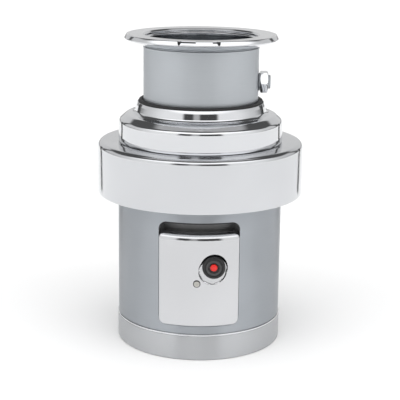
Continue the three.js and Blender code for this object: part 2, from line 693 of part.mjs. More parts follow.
function resetBezel() {
  const seat = -POCKET.floorY + GAP;
  const front = 132.5;
  const bore = RESET.buttonR + 0.4;
  return alongFront(turned([
    [bore, 106], [RESET.barrelR, 106], [RESET.barrelR, seat], [RESET.bezelR, seat],
    [RESET.bezelR, front - 2], [RESET.bezelR - 1.5, front], [12, front], [11, front - 1.6],
    [8, front - 1.6], [7.2, front - 4], [bore, front - 4],
  ], 20)).translate(RESET.x, 0, RESET.z);
}

function resetButton() {
  const front = 131.5;
  return alongFront(turned([
    [0, 107], [RESET.buttonR, 107], [RESET.buttonR, front - 1], [RESET.buttonR - 1, front], [0, front],
  ], 16)).translate(RESET.x, 0, RESET.z);
}

function coverScrew() {
  const seat = COVER.radius + GAP;
  const body = turned([
    [0, 112], [COVER_SCREW.shankR, 112], [COVER_SCREW.shankR, seat], [COVER_SCREW.headR, seat],
    [COVER_SCREW.headR, seat + 1.6], [COVER_SCREW.headR - 1.4, seat + 2.7], [0, seat + 3],
  ], SMALL);
  const bars = [
    block([-2.6, 2.6], [-0.6, 0.6], [seat + 1.4, seat + 4]),
    block([-0.6, 0.6], [-2.6, 2.6], [seat + 1.4, seat + 4]),
  ];
  return alongFront(cut(body, ...bars)).translate(COVER_SCREW.x, 0, COVER_SCREW.z);
}

add('control_cover', controlCover(), 'brushed');
add('reset_bezel', resetBezel(), 'blackPlastic');
add('reset_button', resetButton(), 'redPlastic');
add('cover_screw', coverScrew(), 'zinc');

// ---- bearings
function bearingCage(low) {
  const middle = low + BEARING.width / 2;
  const pitchR = (BEARING.innerR + BEARING.outerR) / 2;
  const ballR = (BEARING.outerR - BEARING.innerR) / 2 - GAP;
  const places = ringPlaces({ count: BEARING.balls, ring: pitchR, angle: 0 });
  const balls = places.map(([x, y]) => outward(new THREE.IcosahedronGeometry(ballR)).translate(x, y, middle));
  return join(tubeRing(pitchR - 0.8, pitchR + 0.8, middle - 1.2, middle + 1.2, 14), ...balls);
}

[['upper', UPPER_BEARING_Z], ['lower', LOWER_BEARING_Z]].forEach(([name, low]) => {
  const high = low + BEARING.width;
  add(`${name}_bearing_outer`, tubeRing(BEARING.outerR, BEARING.houseR, low, high, 20), 'hardSteel');
  add(`${name}_bearing_cage`, bearingCage(low), 'hardSteel');
  add(`${name}_bearing_inner`, tubeRing(BEARING.shaftR + GAP, BEARING.innerR, low, high, 20), 'hardSteel');
});

// ---- rotor
const rotor = new THREE.Group();
disposal.add(rotor);

function rotorShaft() {
  return turned([
    [0, 9], [7, 9], [8, 10], [8, 29.5], [10, 29.5], [10, 45.6], [SHAFT_R, 45.6], [SHAFT_R, 170.9],
    [10, 170.9], [10, 186.5], [9, 186.5], [9, PLATE.low - GAP], [7, PLATE.low - GAP], [7, 283], [0, 283],
  ], SMALL);
}

function rotorCore() {
  return turned([
    [SHAFT_R + GAP, ROTOR.low], [40, ROTOR.low], [ROTOR.radius, ROTOR.low + 5],
    [ROTOR.radius, ROTOR.high - 5], [40, ROTOR.high], [SHAFT_R + GAP, ROTOR.high],
  ], MEDIUM);
}

function shredderPlate() {
  const disc = rod(PLATE.radius, PLATE.low, PLATE.high, ROUND);
  const lug = () => block([62, 82], [-9, 9], [PLATE.high - 1, PLATE.high + 22]);
  const vane = () => block([34, 86], [-2.5, 2.5], [PLATE.low - 7, PLATE.low + 1]);
  const notches = Array.from({ length: 8 }, (_, i) => (
    block([86, 95], [-2, 2], [PLATE.low - 9, PLATE.high + 1]).rotateZ(rad(22.5 + 45 * i))
  ));
  const body = join(disc, lug(), lug().rotateZ(Math.PI), vane().rotateZ(rad(45)), vane().rotateZ(rad(225)));
  return cut(body, ...notches, rod(7 + GAP, PLATE.low - 9, PLATE.high + 1, 20));
}

function shredderNut() {
  const low = PLATE.high + GAP;
  return cut(
    join(rod(13, low, low + 2, 20), rod(11, low + 1, low + 10, 6)),
    rod(7 + GAP, low - 1, 283 + GAP, 20),
  );
}

function slinger() {
  return turned([[9.3, 204], [32, 204], [32, 198], [35, 198], [36.5, 207], [9.3, 207]], 20);
}

function coolingFan() {
  const hub = rod(16, 10, 27, SMALL);
  const disc = rod(76, 24, 26, MEDIUM);
  const blades = Array.from({ length: 8 }, (_, i) => (
    block([12, 74], [-1, 1], [11, 25]).rotateZ(rad(45 * i))
  ));
  return cut(join(hub, disc, ...blades), rod(8 + GAP, 9, 28, 20));
}

add('rotor_shaft', rotorShaft(), 'hardSteel', rotor);
add('rotor_core', rotorCore(), 'lamination', rotor);
add('shredder_plate', shredderPlate(), 'castIron', rotor);
add('shredder_nut', shredderNut(), 'zinc', rotor);
add('slinger', slinger(), 'rubber', rotor);
add('cooling_fan', coolingFan(), 'blackPlastic', rotor);

export default disposal;
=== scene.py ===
import json
import math

import bmesh
import bpy
from mathutils import Matrix, Vector


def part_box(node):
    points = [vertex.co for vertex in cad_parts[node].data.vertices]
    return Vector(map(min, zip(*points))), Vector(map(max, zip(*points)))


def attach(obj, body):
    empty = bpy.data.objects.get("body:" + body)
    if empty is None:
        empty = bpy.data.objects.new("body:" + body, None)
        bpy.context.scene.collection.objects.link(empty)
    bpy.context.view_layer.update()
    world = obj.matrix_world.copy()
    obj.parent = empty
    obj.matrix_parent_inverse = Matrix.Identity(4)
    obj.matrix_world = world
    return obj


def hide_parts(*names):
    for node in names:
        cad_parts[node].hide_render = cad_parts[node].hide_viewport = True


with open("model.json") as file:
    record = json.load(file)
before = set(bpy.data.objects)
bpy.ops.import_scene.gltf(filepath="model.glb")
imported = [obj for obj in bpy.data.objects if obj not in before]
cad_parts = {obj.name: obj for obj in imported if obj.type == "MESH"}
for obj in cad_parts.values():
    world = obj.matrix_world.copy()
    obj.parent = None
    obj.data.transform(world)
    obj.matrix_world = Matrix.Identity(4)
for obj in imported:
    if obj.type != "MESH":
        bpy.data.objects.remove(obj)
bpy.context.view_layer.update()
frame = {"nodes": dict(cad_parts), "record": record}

# ------------------------------------------------------------------ driving values
MM = 0.001
FINE = 224  # sides of the large turned pieces
SMOOTH = 96  # sides of the small turned pieces
EDGE_ANGLE = math.radians(32)  # sharper edges than this keep a crisp line
FRONT = Matrix.Rotation(math.radians(90), 4, "X")  # local +Z turned to the front, -Y
REAR = Matrix.Rotation(math.radians(-90), 4, "X")  # local +Z turned to the rear, +Y
SIDE = Matrix.Rotation(math.radians(90), 4, "Y")  # local +Z turned to the right, +X

CAMERA = {
    "distance": 1770.0, "height": 665.0, "down": 12.66, "roll": 0.64,
    "lens": 103.4, "sensor": 36, "shift": -0.075,
}
WORLD = {
    "panel": 1.05, "rear": 0.32, "rear_high": 0.72, "flag": 0.1, "gap": 0.08, "streak": 0.55,
    "softbox": 1.6, "cap": 0.1, "roof": 0.5, "edge_front": 58.0, "edge_rear": 28.0,
}
OVERHEAD = {"strength": 1.75, "softness": 70.0, "tilt": 12.0}
KEYHOLE = {
    "ring": 115.9, "head": 2.8, "slit": 2.2, "floor": 476.4,
    "places": ((-16, -16, -4), (12.5, 8, 12.5)),  # head, slit from, slit to, in degrees from the front
}
NUT = {"flats": 31, "turn": 4.0}
NOZZLE = {"bore": 7.5, "foot": 15, "outer": 10.65, "root": 10.15, "pitch": 1.3, "turns": 9}
SPOUT = {"bore": 25.4, "outer": 29, "groove": 28.2, "plate": 5, "bolt": 36, "bolt_hole": 3.3}
SEAT = 84.2  # bore of the chamber's top and of the rubber under the neck
FLAG = {"azimuth": 136.0, "distance": 1.0, "width": 0.1, "height": 0.5}
WINDOW = {"top": 215.0, "corner": 12.5, "shadow_strip_width": 1.8, "side_gap": 0.3, "foot_gap": 0.5}
PAN_BEAD = 3.4
SHEET = 2  # thickness of the outer sheets
COVER = {"roll": 12, "corner": 9.0, "edge": 2.6, "sheet": 1.6, "step": 0.8}
POCKET = {
    "x": 20.5, "z": 142.0, "radius": 21.4, "step": 0.9, "slope": 0.12, "rim": 3.4,
    "wall": 0.9, "fade": 4.5, "fade_height": 20,  # the wall is steep below and runs out above
}
VENTS = {"count": 8, "start": 34, "end": 74, "half_width": 3, "corner": 2.9}
SCREW_RECESS = (7.5, 9.5, 2.6)  # inner and outer radius of the cup, radius of its hole
BUSHING_RECESS = (16.6, 18.6, 11.4)
TRAY = {"back": 105, "step": 168, "inner": 88, "rim": 125.8, "half_angle": 31}


def extent(node):
    """Outer radius, lowest z and highest z of a round CAD node, in millimetres."""
    low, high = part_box(node)
    return high.x / MM, low.z / MM, high.z / MM


def middle(node):
    """Centre of a CAD node's box, in millimetres."""
    low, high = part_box(node)
    return (low + high) / (2 * MM)


# ------------------------------------------------------------------ outlines and meshes
def filleted(corners, steps=5):
    """Closed outline from (r, z, fillet) corners: each corner is rounded by its own arc."""
    outline = []
    for i, (r, z, radius) in enumerate(corners):
        here = Vector((r, z))
        before = Vector(corners[i - 1][:2]) - here
        after = Vector(corners[(i + 1) % len(corners)][:2]) - here
        if radius <= 0:
            outline.append((r, z))
            continue
        half = before.angle(after) / 2
        reach = min(radius / math.tan(half), 0.49 * before.length, 0.49 * after.length)
        start = here + before.normalized() * reach
        bisector = (before.normalized() + after.normalized()).normalized()
        centre = here + bisector * (reach / math.cos(half))
        spoke = start - centre
        sweep = math.pi - 2 * half
        turn = before.x * after.y - before.y * after.x
        for k in range(steps + 1):
            angle = math.copysign(sweep * k / steps, -turn)
            cosine, sine = math.cos(angle), math.sin(angle)
            outline.append((
                centre.x + spoke.x * cosine - spoke.y * sine,
                centre.y + spoke.x * sine + spoke.y * cosine,
            ))
    return outline


def mesh_from(name, vertices, faces, turn=None):
    """Mesh in metres from millimetre vertices, cleaned, with its faces pointing out."""
    mesh = bpy.data.meshes.new(name)
    mesh.from_pydata([Vector(v) * MM for v in vertices], [], faces)
    work = bmesh.new()
    work.from_mesh(mesh)
    bmesh.ops.remove_doubles(work, verts=work.verts, dist=1e-6)
    bmesh.ops.recalc_face_normals(work, faces=work.faces)
    work.to_mesh(mesh)
    work.free()
    if turn is not None:
        mesh.transform(turn)
    return mesh


def revolved(name, outline, sides=FINE, arc=None, turn=None):
    """Closed (r, z) outline turned about Z; arc is (from, to) in degrees from the front."""
    start, end = arc or (0, 360)
    rows = sides if arc is None else sides + 1
    count = len(outline)
    vertices = []
    for i in range(rows):
        angle = math.radians(start + (end - start) * i / sides)
        vertices += [(r * math.sin(angle), -r * math.cos(angle), z) for r, z in outline]
    faces = []
    for i in range(sides):
        a, b = i * count, ((i + 1) % rows) * count
        for k in range(count):
            m = (k + 1) % count
            faces.append((a + k, b + k, b + m, a + m))
    if arc is not None:
        faces.append(tuple(range(count)))
        faces.append(tuple(range((rows - 1) * count, rows * count)))
    return mesh_from(name, vertices, faces, turn)


def prism(name, outline, low, high, turn=None):
    """Closed (x, y) outline made solid from low to high along local Z."""
    count = len(outline)
    vertices = [(x, y, z) for z in (low, high) for x, y in outline]
    faces = [tuple(range(count)), tuple(range(count, 2 * count))]
    faces += [(k, (k + 1) % count, count + (k + 1) % count, count + k) for k in range(count)]
    return mesh_from(name, vertices, faces, turn)


def ring_of(count, radius, phase=0.0):
    """Points of a regular polygon."""
    angles = [math.radians(phase + 360 * k / count) for k in range(count)]
    return [(radius * math.cos(a), radius * math.sin(a)) for a in angles]


def rounded_rectangle(half_x, low, high, radius, steps=10):
    """Outline from -half_x to half_x and low to high, with rounded corners."""
    places = ((-half_x, low), (half_x, low), (half_x, high), (-half_x, high))
    return filleted([(x, y, radius) for x, y in places], steps)


def joined(name, *meshes):
    """One mesh holding several closed shells."""
    work = bmesh.new()
    for mesh in meshes:
        work.from_mesh(mesh)
    result = bpy.data.meshes.new(name)
    work.to_mesh(result)
    work.free()
    return result


def combined(mesh, others, operation="DIFFERENCE"):
    """Boolean of a mesh with each of the others, as a new mesh."""
    body = bpy.data.objects.new("body_in_work", mesh)
    bpy.context.scene.collection.objects.link(body)
    tools = []
    for other in others:
        tool = bpy.data.objects.new("tool_in_work", other)
        bpy.context.scene.collection.objects.link(tool)
        modifier = body.modifiers.new("boolean", "BOOLEAN")
        modifier.operation = operation
        modifier.solver = "EXACT"
        modifier.object = tool
        tools.append(tool)
    bpy.context.view_layer.update()
    evaluated = body.evaluated_get(bpy.context.evaluated_depsgraph_get())
    result = bpy.data.meshes.new_from_object(evaluated)
    for item in (body, *tools):
        bpy.data.objects.remove(item)
    return result


def piece(name, mesh, body, replaced, material, bevel=0.0):
    """Links a fine piece, gives it its finish, and lets it stand for CAD nodes on a body."""
    mesh.materials.clear()
    mesh.materials.append(material)
    obj = bpy.data.objects.new(name, mesh)
    bpy.context.scene.collection.objects.link(obj)
    soften(obj, bevel)
    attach(obj, body)
    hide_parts(*replaced)
    return obj


def soften(obj, bevel):
    """Smooth shading with crisp edges, and a small bevel where one is asked for."""
    if bevel > 0:
        modifier = obj.modifiers.new("edge", "BEVEL")
        modifier.width = bevel * MM
        modifier.segments = 3
        modifier.limit_method = "ANGLE"
        modifier.angle_limit = EDGE_ANGLE
        modifier.harden_normals = False
    obj.data.shade_smooth()
    obj.data.set_sharp_from_angle(angle=EDGE_ANGLE)


# ------------------------------------------------------------------ materials
class Shader:
    """A small wrapper that builds one node material step by step."""

    def __init__(self, name, color, roughness, metallic=0.0):
        self.material = bpy.data.materials.new(name)
        self.material.use_nodes = True
        self.nodes = self.material.node_tree.nodes
        self.links = self.material.node_tree.links
        self.surface = self.nodes["Principled BSDF"]
        self.surface.inputs["Base Color"].default_value = (*color, 1)
        self.surface.inputs["Metallic"].default_value = metallic
        self.surface.inputs["Roughness"].default_value = roughness
        self.color = color
        self.roughness = roughness
        self.place = self.nodes.new("ShaderNodeTexCoord").outputs["Object"]
        self.height = None

    def noise(self, scale, stretch=(1, 1, 1), detail=3.0, rough=0.55):
        """Noise value over the object, in its own frame; scale is per metre."""
        mapping = self.nodes.new("ShaderNodeMapping")
        mapping.inputs["Scale"].default_value = stretch
        self.links.new(self.place, mapping.inputs["Vector"])
        texture = self.nodes.new("ShaderNodeTexNoise")
        texture.inputs["Scale"].default_value = scale
        texture.inputs["Detail"].default_value = detail
        texture.inputs["Roughness"].default_value = rough
        self.links.new(mapping.outputs["Vector"], texture.inputs["Vector"])
        return texture.outputs["Fac"]

    def ranged(self, value, low, high, start=0.3, end=0.7):
        """The value moved from start..end to low..high, clamped."""
        node = self.nodes.new("ShaderNodeMapRange")
        node.inputs["From Min"].default_value = start
        node.inputs["From Max"].default_value = end
        node.inputs["To Min"].default_value = low
        node.inputs["To Max"].default_value = high
        self.links.new(value, node.inputs["Value"])
        return node.outputs["Result"]

    def math(self, operation, first, second):
        node = self.nodes.new("ShaderNodeMath")
        node.operation = operation
        for socket, value in zip(node.inputs, (first, second)):
            if isinstance(value, (int, float)):
                socket.default_value = value
            else:
                self.links.new(value, socket)
        return node.outputs["Value"]

    def tint(self, value, low, high):
        """Base colour that runs from low to high times the main colour."""
        node = self.nodes.new("ShaderNodeMix")
        node.data_type = "RGBA"
        node.inputs["A"].default_value = (*[c * low for c in self.color], 1)
        node.inputs["B"].default_value = (*[min(c * high, 1) for c in self.color], 1)
        self.links.new(value, node.inputs["Factor"])
        self.links.new(node.outputs["Result"], self.surface.inputs["Base Color"])

    def gloss(self, value):
        self.links.new(value, self.surface.inputs["Roughness"])

    def relief(self, value, strength, distance=0.0002):
        """Fine relief; several calls stack up."""
        node = self.nodes.new("ShaderNodeBump")
        node.inputs["Strength"].default_value = strength
        node.inputs["Distance"].default_value = distance
        self.links.new(value, node.inputs["Height"])
        if self.height is not None:
            self.links.new(self.height, node.inputs["Normal"])
        self.height = node.outputs["Normal"]
        self.links.new(self.height, self.surface.inputs["Normal"])


def steel(name, color, roughness, grain, relief, spread=0.05, stretch=(1, 1, 1), brushed=0.0):
    """Stainless sheet: fine grain lines, soft smudges, colour drift and a brushed direction."""
    shader = Shader(name, color, roughness, 1.0)
    if brushed > 0:
        shader.surface.inputs["Anisotropic"].default_value = brushed
        shader.surface.inputs["Anisotropic Rotation"].default_value = 0.25
        tangent = shader.nodes.new("ShaderNodeTangent")
        tangent.direction_type = "RADIAL"
        tangent.axis = "Z"
        shader.links.new(tangent.outputs["Tangent"], shader.surface.inputs["Tangent"])
    lines = shader.noise(grain, stretch, 4.0, 0.7)
    smudge = shader.noise(14, detail=4.0)
    cloud = shader.noise(5, detail=2.0)
    shader.tint(shader.ranged(cloud, 0, 1), 0.95, 1.04)
    base = shader.ranged(smudge, roughness - spread * 0.5, roughness + spread * 0.5)
    fine = shader.ranged(lines, -spread, spread, 0.35, 0.65)
    shader.gloss(shader.math("ADD", base, fine))
    shader.relief(lines, relief)
    return shader.material


def cast(name, color, roughness, metallic, grain=900, relief=0.35, dip_tint=0.12):
    """Cast or forged metal: sandy surface, and colour that drifts in broad blobs, darker where the broad
    relief dips.
    """
    shader = Shader(name, color, roughness, metallic)
    sand = shader.noise(grain, detail=5.0, rough=0.7)
    cloud = shader.noise(28, detail=4.0)
    shader.tint(shader.ranged(cloud, 0, 1), 1 - dip_tint, 1 + dip_tint)
    shader.gloss(shader.ranged(sand, roughness - 0.1, roughness + 0.12))
    shader.relief(cloud, relief * 0.3, 0.001)
    shader.relief(sand, relief)
    return shader.material


def moulded(name, color, roughness, grain=2600, relief=0.12, drift=0.08):
    """Moulded plastic, rubber or paint: fine orange peel and slight handling marks."""
    shader = Shader(name, color, roughness)
    peel = shader.noise(grain, detail=2.0)
    marks = shader.noise(60, detail=5.0)
    shader.tint(shader.ranged(marks, 0, 1), 1 - drift, 1 + drift)
    shader.gloss(shader.ranged(marks, roughness - 0.06, roughness + 0.08))
    shader.relief(peel, relief)
    return shader.material


def laminated(name, color):
    """Stacked steel sheets: thin lines one above the other."""
    shader = Shader(name, color, 0.5, 0.7)
    sheets = shader.noise(1, (30, 30, 1900), 1.0, 0.4)
    shader.tint(shader.ranged(sheets, 0, 1), 0.7, 1.25)
    shader.gloss(shader.ranged(sheets, 0.4, 0.62))
    shader.relief(sheets, 0.5)
    return shader.material


def wound(name, color):
    """Varnished wire bundle: strands that run round the end turns."""
    shader = Shader(name, color, 0.35, 0.85)
    strands = shader.noise(1, (60, 60, 1300), 2.0, 0.6)
    shader.tint(shader.ranged(strands, 0, 1), 0.6, 1.3)
    shader.gloss(shader.ranged(strands, 0.25, 0.5))
    shader.relief(strands, 0.8, 0.0005)
    return shader.material


ROUND_GRAIN = (1, 1, 60)  # noise stretched along the circumference
MATERIALS = {
    "polished_steel": steel("polished_steel", (0.70, 0.71, 0.73), 0.08, 40, 0.010, 0.03, ROUND_GRAIN),
    "bright_steel": steel("bright_steel", (0.66, 0.67, 0.69), 0.12, 40, 0.02, 0.04, ROUND_GRAIN),
    "brushed_steel": steel("brushed_steel", (0.45, 0.475, 0.505), 0.42, 40, 0.04, 0.05, ROUND_GRAIN, 0.95),
    "neck_steel": steel("neck_steel", (0.50, 0.525, 0.55), 0.5, 40, 0.05, 0.05, ROUND_GRAIN, 0.2),
    "pan_steel": steel("pan_steel", (0.53, 0.54, 0.555), 0.34, 40, 0.04, 0.05, ROUND_GRAIN, 0.9),
    "cover_steel": steel("cover_steel", (0.62, 0.625, 0.64), 0.13, 40, 0.02, 0.04, ROUND_GRAIN),
    "cast_aluminium": cast("cast_aluminium", (0.50, 0.51, 0.52), 0.5, 1.0),
    "cast_iron": cast("cast_iron", (0.34, 0.34, 0.35), 0.45, 1.0, 700, 0.5, 0.2),
    "hard_steel": steel("hard_steel", (0.52, 0.53, 0.54), 0.28, 60, 0.06, 0.06),
    # Dark grey of the tray: partly painted shade inside the recess behind the cover.
    "tray_paint": moulded("tray_paint", (0.20, 0.20, 0.203), 0.35, 900, 0.1),
    "dark_paint": moulded("dark_paint", (0.05, 0.053, 0.06), 0.35, 1500, 0.15),
    "lamination": laminated("lamination", (0.20, 0.185, 0.17)),
    "copper_winding": wound("copper_winding", (0.50, 0.22, 0.09)),
    "black_rubber": moulded("black_rubber", (0.018, 0.018, 0.019), 0.6, 1800, 0.25),
    "insulation_foam": moulded("insulation_foam", (0.06, 0.06, 0.065), 0.9, 700, 0.9, 0.3),
    "black_plastic": moulded("black_plastic", (0.008, 0.008, 0.009), 0.30),
    "collar_plastic": moulded("collar_plastic", (0.045, 0.046, 0.047), 0.4, 900, 0.2),
    "red_plastic": moulded("red_plastic", (0.75, 0.025, 0.02), 0.3),
    "white_plastic": moulded("white_plastic", (0.72, 0.70, 0.64), 0.45),
    "zinc_plate": steel("zinc_plate", (0.60, 0.59, 0.55), 0.3, 90, 0.08, 0.08),
}


def paint_cad_nodes():
    """Each CAD node takes the material of its record slot, with softened edges."""
    slots = {row["node"]: row["material_slot"] for row in frame["record"]["subparts"]}
    for name, node in frame["nodes"].items():
        material = MATERIALS[slots[name]]
        if not node.material_slots:
            node.data.materials.append(material)
        for place in node.material_slots:
            place.link = "OBJECT"
            place.material = material
        weld = node.modifiers.new("weld", "WELD")
        weld.merge_threshold = 0.00002
        soften(node, 0.3)


# ------------------------------------------------------------------ flange, neck, water inlet
def arc_strip(inner, outer, start, end, steps=8):
    """Outline of a curved strip; angles in degrees from the front, positive to the right."""
    sweep = [math.radians(start + (end - start) * k / steps) for k in range(steps + 1)]
    outside = [(outer * math.sin(a), -outer * math.cos(a)) for a in sweep]
    inside = [(inner * math.sin(a), -inner * math.cos(a)) for a in reversed(sweep)]
    return outside + inside


def build_sink_flange():
    """Turned flange with a sloped rim face and two keyhole slots, with thin black plates in the slots as
    painted shade.
    """
    rim, low, top = extent("sink_flange")
    neck, _, neck_top = extent("inlet_neck")
    face = top - 0.3
    outline = filleted([
        (rim - 3.4, top, 1.6), (rim, top - 6.4, 1.4), (rim - 1.7, top - 8, 1.2),
        (rim - 7, top - 9.9, 3), (rim - 12, top - 11.3, 6), (92, top - 16.6, 2),
        (neck, neck_top + 0.4, 0.6), (neck - 2.9, neck_top + 0.4, 0), (neck - 2.9, low, 0.5),
        (neck - 5.1, low, 0.8),
        (neck - 5.1, face - 7, 0.8), (neck - 2.1, face - 5.5, 0.6), (neck - 2.1, face - 2.5, 1.0),
        (neck + 0.7, face, 2.0), (rim - 8, face, 0.6), (rim - 6.5, top, 0.6),
    ], 6)
    body = revolved("sink_flange_fine", outline)
    ring, slit = KEYHOLE["ring"], KEYHOLE["slit"] / 2
    cuts = []
    for head, start, end in KEYHOLE["places"]:
        circle = [(x, y - ring) for x, y in ring_of(40, KEYHOLE["head"])]
        hole = prism("hole", circle, KEYHOLE["floor"], top + 2)
        hole.transform(Matrix.Rotation(math.radians(head), 4, "Z"))
        strip = arc_strip(ring - slit, ring + slit, start, end)
        cuts += [hole, prism("slit", strip, KEYHOLE["floor"], top + 2)]
    piece("sink_flange_fine", combined(body, cuts), "housing", ["sink_flange"],
          MATERIALS["polished_steel"])
    # Thin black plates stood inside each keyhole slot: painted shade where the slot is dark.
    low, high = KEYHOLE["floor"] + 0.05, top - 1
    shade_plates = []
    for head, start, end in KEYHOLE["places"]:
        shade_plates.append(prism("shade_plate", arc_strip(ring - 1.9, ring, head - 1, head + 1), low, high))
        shade_plates.append(prism("shade_plate", arc_strip(ring - 1.05, ring - 0.4, start, end), low, high))
    piece("keyhole_painted_shade", joined("keyhole_painted_shade", *shade_plates), "housing", ["sink_flange"],
          MATERIALS["black_rubber"])


def build_inlet_neck():
    """Thin tube with a rolled top edge and the hole for the water inlet."""
    radius, low, top = extent("inlet_neck")
    outline = filleted([
        (radius, low, 0.4), (radius, top - 2.4, 0.3), (radius + 0.5, top - 1.6, 0.4),
        (radius + 0.5, top, 0.4), (radius - 2.5, top, 0.3), (radius - 2.5, low, 0.3),
    ], 4)
    centre = middle("water_inlet_nozzle")
    hole = prism("hole", ring_of(48, 11), 60, 120, SIDE)
    hole.transform(Matrix.Translation((0, 0, centre.z * MM)))
    piece("inlet_neck_fine", combined(revolved("inlet_neck_fine", outline), [hole]), "housing",
          ["inlet_neck"], MATERIALS["neck_steel"])


def build_water_inlet():
    """Hexagonal nut and the threaded nozzle that it clamps."""
    low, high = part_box("water_inlet_nut")
    centre = (low + high) / (2 * MM)
    start, end = low.x / MM, high.x / MM
    corner = NUT["flats"] / 2 / math.cos(math.radians(30))
    turn = Matrix.Rotation(math.radians(NUT["turn"]), 4, "X")
    lift = Matrix.Translation((0, 0, centre.z * MM)) @ turn @ SIDE
    dome = filleted([
        (11.3, start, 0.6), (corner - 2.4, start, 0), (corner, start + 1.5, 0),
        (corner, end - 1.8, 0), (corner - 3.2, end, 0), (11.3, end, 0.8),
    ], 4)
    hexagon = prism("hexagon", ring_of(6, corner, 90), start - 1, end + 1)
    nut = combined(revolved("nut", dome, SMOOTH), [hexagon], "INTERSECT")
    nut.transform(lift)
    piece("water_inlet_nut_fine", nut, "housing", ["water_inlet_nut"],
          MATERIALS["polished_steel"], 0.35)
    low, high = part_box("water_inlet_nozzle")
    inner, outer = low.x / MM, high.x / MM
    ribs = []
    thread = outer - 3.6
    wide, bore, foot = NOZZLE["outer"], NOZZLE["bore"], NOZZLE["foot"]
    for k in range(NOZZLE["turns"]):
        crest = thread - k * NOZZLE["pitch"]
        ribs += [(wide, crest, 0), (NOZZLE["root"], crest - NOZZLE["pitch"] / 2, 0)]
    outline = filleted([
        (bore, inner, 0.6), (foot, inner, 0.5), (foot, inner + 3, 0.5), (wide, inner + 3, 0),
        *reversed(ribs), (wide, outer - 1.0, 0.2), (9.9, outer, 0.5), (bore, outer, 0.9),
    ], 4)
    nozzle = revolved("water_inlet_nozzle_fine", outline, SMOOTH, turn=SIDE)
    nozzle.transform(Matrix.Translation((0, 0, middle("water_inlet_nozzle").z * MM)))
    piece("water_inlet_nozzle_fine", nozzle, "housing", ["water_inlet_nozzle"],
          MATERIALS["neck_steel"])


# ------------------------------------------------------------------ outer covers
def build_isolator():
    """Rubber ring that the neck stands in."""
    radius, low, top = extent("rubber_isolator")
    neck, neck_low, _ = extent("inlet_neck")
    outline = filleted([
        (SEAT, low, 0.4), (radius, low, 0.4), (radius, top - 0.9, 0.6), (radius - 1.2, top, 0.7),
        (neck + 1.2, top, 0.5), (neck + 0.75, top - 1.0, 0.2), (neck + 0.75, neck_low - 0.4, 0),
        (SEAT, neck_low - 0.4, 0.4),
    ], 4)
    piece("rubber_isolator_fine", revolved("rubber_isolator_fine", outline), "housing",
          ["rubber_isolator"], MATERIALS["black_rubber"])


def build_upper_trim():
    """Polished dome in two steps between the neck and the centre band."""
    radius, low, top = extent("upper_trim")
    outline = filleted([
        (97.1, top, 0.4), (98.3, top, 0.5), (100.1, 373.4, 6), (102.2, 364.2, 6), (105.4, 360.6, 7),
        (116.4, 359.2, 12), (127.5, 350.2, 9), (radius - 0.6, 339.6, 30), (radius, low + 3.4, 4),
        (radius - 0.9, low, 0.8), (radius - 2, low, 0.4), (radius - 2.5, 343, 8), (124.5, 347.4, 8),
        (114.6, 357.2, 10), (104, 358.9, 4), (100, 363.6, 4), (98.2, 372.6, 6),
    ], 7)
    piece("upper_trim_fine", revolved("upper_trim_fine", outline), "housing", ["upper_trim"],
          MATERIALS["polished_steel"])


def build_centre_band():
    """Wide polished ring with a round top edge."""
    radius, low, top = extent("centre_band")
    outline = filleted([
        (127, top - SHEET, 0.3), (127, top, 0.5), (radius, top, 8.5), (radius, low, 2.4), (124, low, 0.4),
        (124, low + SHEET, 0.4), (radius - SHEET, low + SHEET, 0.8), (radius - SHEET, top - SHEET, 6.5),
    ], 10)
    piece("centre_band_fine", revolved("centre_band_fine", outline), "housing", ["centre_band"],
          MATERIALS["bright_steel"])


def window_outline(inset=0.0):
    """The window in the body shell, seen from the front, drawn in by an inset."""
    low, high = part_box("control_cover")
    half = high.x / MM + WINDOW["side_gap"] - inset
    foot = low.z / MM - WINDOW["foot_gap"] + inset
    return rounded_rectangle(half, foot, WINDOW["top"] - inset, WINDOW["corner"] - inset)


def build_body_shell():
    """Brushed cylinder with the front window and the rear outlet hole."""
    radius, low, top = extent("body_shell")
    outline = filleted([
        (radius, low, 0.5), (radius, top, 0.4), (radius - SHEET, top, 0.4), (radius - SHEET, low, 0.4),
    ], 3)
    shell = revolved("body_shell_fine", outline, 256)
    window = prism("window", window_outline(), 90, radius + 10, FRONT)
    spout = middle("drain_spout")
    outlet = prism("outlet", ring_of(64, 31), 100, 140, REAR)
    outlet.transform(Matrix.Translation((0, 0, spout.z * MM)))
    piece("body_shell_fine", combined(shell, [window, outlet]), "housing", ["body_shell"],
          MATERIALS["brushed_steel"], 0.9)


def build_window_shadow_strip():
    """Black strip round the top of the window, above the cover: painted shadow along the window's top
    edge.
    """
    radius = extent("body_shell")[0]
    cover_low, cover_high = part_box("control_cover")
    low, high = cover_low.z / MM - WINDOW["foot_gap"], WINDOW["top"] + 9
    side, foot, start = cover_high.x / MM + 9.3, low - 9, cover_high.z / MM + 0.6
    inside, outside = radius - SHEET, radius - 0.25
    wall = revolved("wall", [(inside, low), (outside, low), (outside, high), (inside, high)], 256)
    outer = prism("outer", window_outline(), 90, radius + 10, FRONT)
    inner = prism("inner", window_outline(WINDOW["shadow_strip_width"]), 80, radius + 20, FRONT)
    block = [(-side, foot), (side, foot), (side, start), (-side, start)]
    below = prism("below", block, 80, radius + 20, FRONT)
    strip = combined(combined(outer, [wall], "INTERSECT"), [inner, below])
    # The black strip is painted shadow along the window's top edge, not a separate trim.
    piece("window_painted_shadow", strip, "housing", ["body_shell"], MATERIALS["black_rubber"])


